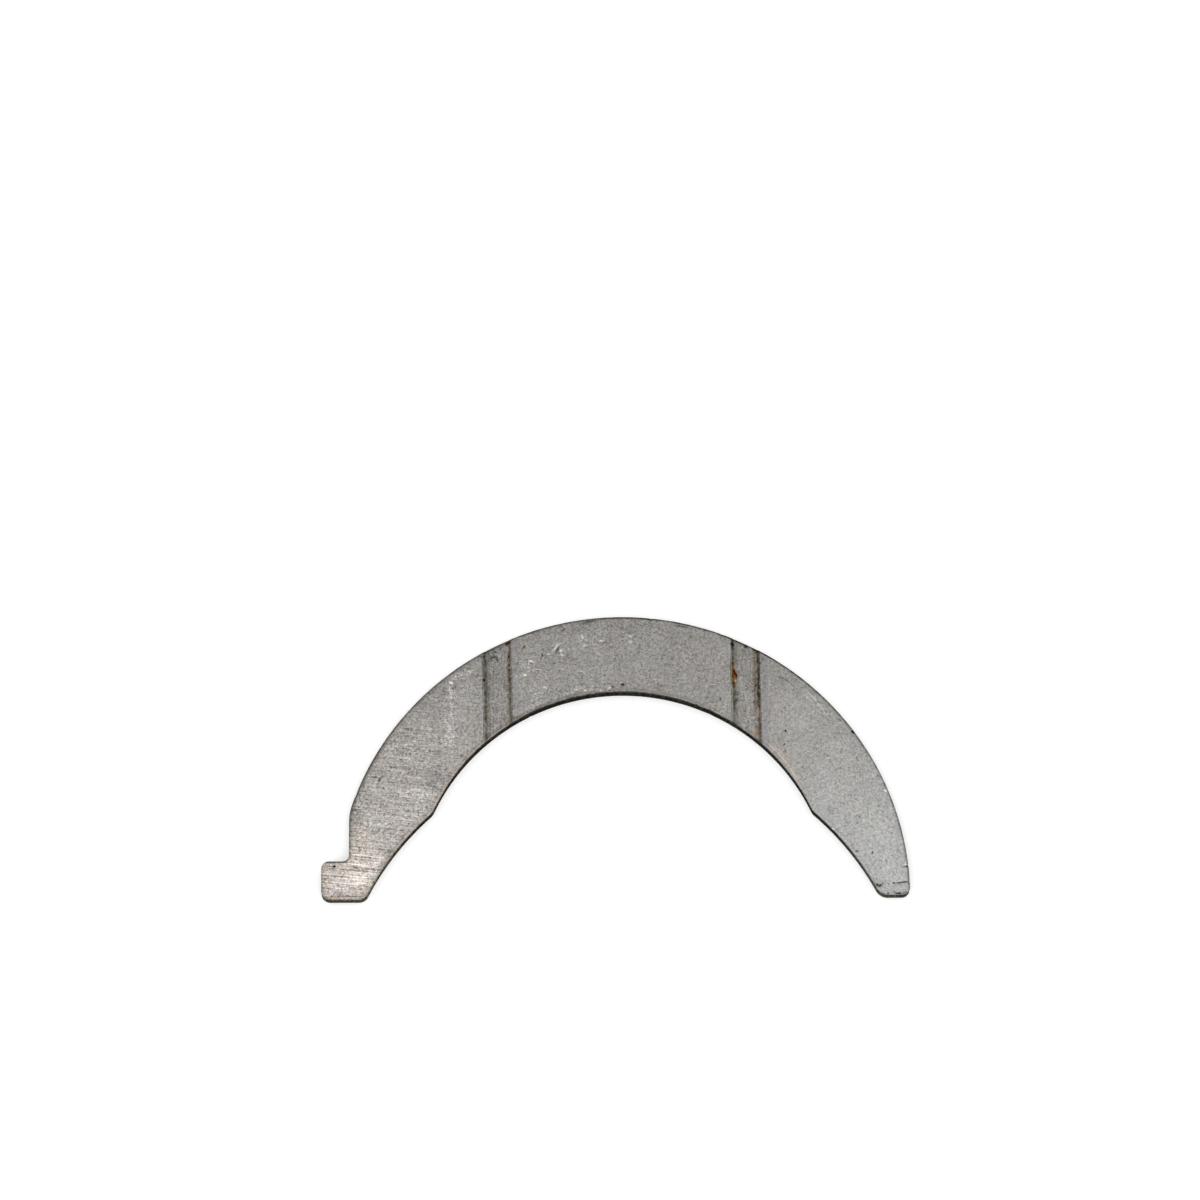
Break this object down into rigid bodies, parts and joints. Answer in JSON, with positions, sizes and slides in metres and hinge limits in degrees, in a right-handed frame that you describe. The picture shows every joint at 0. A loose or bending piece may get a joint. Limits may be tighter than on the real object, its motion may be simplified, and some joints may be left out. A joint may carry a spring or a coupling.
{
  "type": "thrust washer",
  "caption": "Half-moon steel crankshaft thrust washer with a square locating tab on one foot and parallel oil grooves milled across its thrust face.",
  "frame": {"origin": "centre of the inner and outer arcs, on the crank axis, at the plain back face", "axes": "+Z out of the grooved thrust face, along the crank axis; +Y towards the crown; -X towards the locating tab"},
  "size_m": [0.0862, 0.0426, 0.0025],
  "materials": {
    "steel": "fine brushed and lapped steel, satin, with short scratches, dark grime and specks of rust in the grooves"
  },
  "bodies": {
    "root": {"thrust_washer": "steel"}
  },
  "joints": []
}
